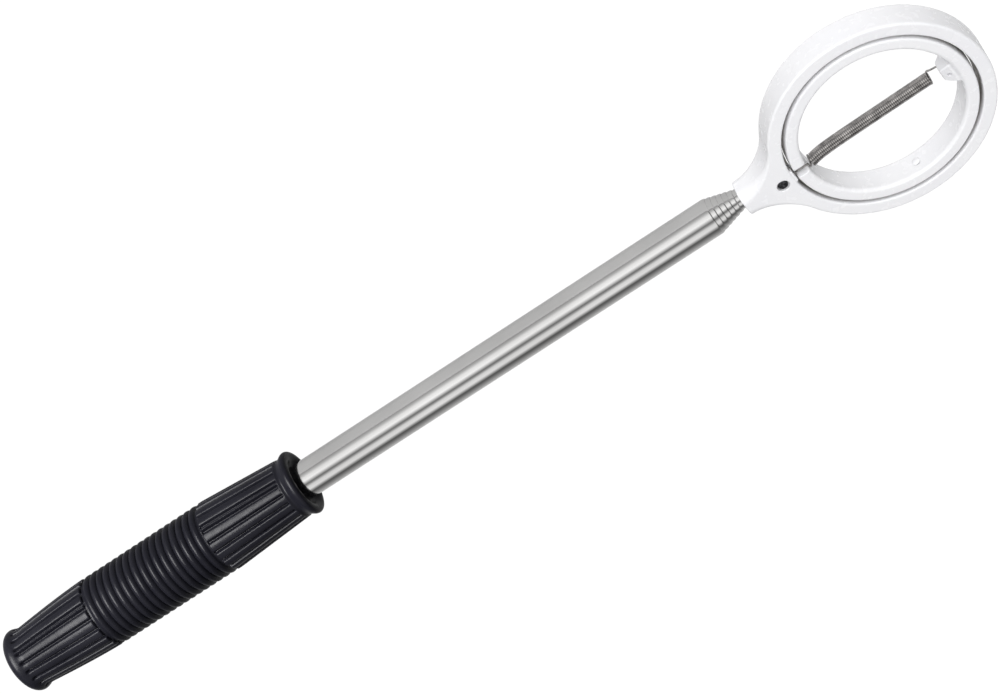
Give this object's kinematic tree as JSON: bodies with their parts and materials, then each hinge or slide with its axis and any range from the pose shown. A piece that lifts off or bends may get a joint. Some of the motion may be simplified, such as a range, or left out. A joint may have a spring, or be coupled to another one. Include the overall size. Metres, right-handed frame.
{
  "type": "golf ball retriever",
  "caption": "Telescopic golf ball retriever: rubber grip, nested steel tubes, and a white ring head whose turning inner ring has a coil spring across its opening.",
  "frame": {"origin": "centre of the grip's flat butt face, on the shaft's axis", "axes": "+X along the shaft towards the head, +Z out of the front face of the ring, +Y across the ring along its pivot pins"},
  "size_m": [0.4502, 0.088, 0.0302],
  "materials": {
    "grip_rubber": "satin black moulded rubber",
    "plug_plastic": "matte black",
    "tube_steel": "polished stainless steel",
    "bush_nylon": "natural nylon",
    "head_white": "glossy white moulding",
    "screw_steel": "dark plated",
    "spring_steel": "dark oiled spring wire"
  },
  "bodies": {
    "handle": {"grip": "grip_rubber", "butt_plug": "plug_plastic", "section_1_tube": "tube_steel"},
    "section_2": {"section_2_tube": "tube_steel", "bush_2": "bush_nylon"},
    "section_3": {"section_3_tube": "tube_steel", "bush_3": "bush_nylon"},
    "section_4": {"section_4_tube": "tube_steel", "bush_4": "bush_nylon"},
    "section_5": {"section_5_tube": "tube_steel", "bush_5": "bush_nylon"},
    "section_6": {"section_6_tube": "tube_steel", "bush_6": "bush_nylon"},
    "swivel": {"bush_7": "bush_nylon"},
    "head": {"section_7_tube": "tube_steel", "head_frame": "head_white", "tip_plug": "plug_plastic", "head_screw": "screw_steel", "pivot_pin_left": "head_white", "pivot_pin_right": "head_white"},
    "ring": {"inner_ring": "head_white", "ball_spring": "spring_steel"}
  },
  "joints": [
    {"name": "section_2_slide", "type": "slide", "parent": "handle", "child": "section_2", "axis": [1, 0, 0], "range_m": [0, 0.3]},
    {"name": "section_3_slide", "type": "slide", "parent": "section_2", "child": "section_3", "axis": [1, 0, 0], "range_m": [0, 0.292]},
    {"name": "section_4_slide", "type": "slide", "parent": "section_3", "child": "section_4", "axis": [1, 0, 0], "range_m": [0, 0.284]},
    {"name": "section_5_slide", "type": "slide", "parent": "section_4", "child": "section_5", "axis": [1, 0, 0], "range_m": [0, 0.276]},
    {"name": "section_6_slide", "type": "slide", "parent": "section_5", "child": "section_6", "axis": [1, 0, 0], "range_m": [0, 0.268]},
    {"name": "section_7_slide", "type": "slide", "parent": "section_6", "child": "swivel", "axis": [1, 0, 0], "range_m": [0, 0.26]},
    {"name": "head_spin", "type": "hinge", "parent": "swivel", "child": "head", "pos_m": [0, 0, 0], "axis": [1, 0, 0], "continuous": true},
    {"name": "ring_turn", "type": "hinge", "parent": "head", "child": "ring", "pos_m": [0.40625, 0, 0.0013], "axis": [0, 1, 0], "continuous": true}
  ]
}
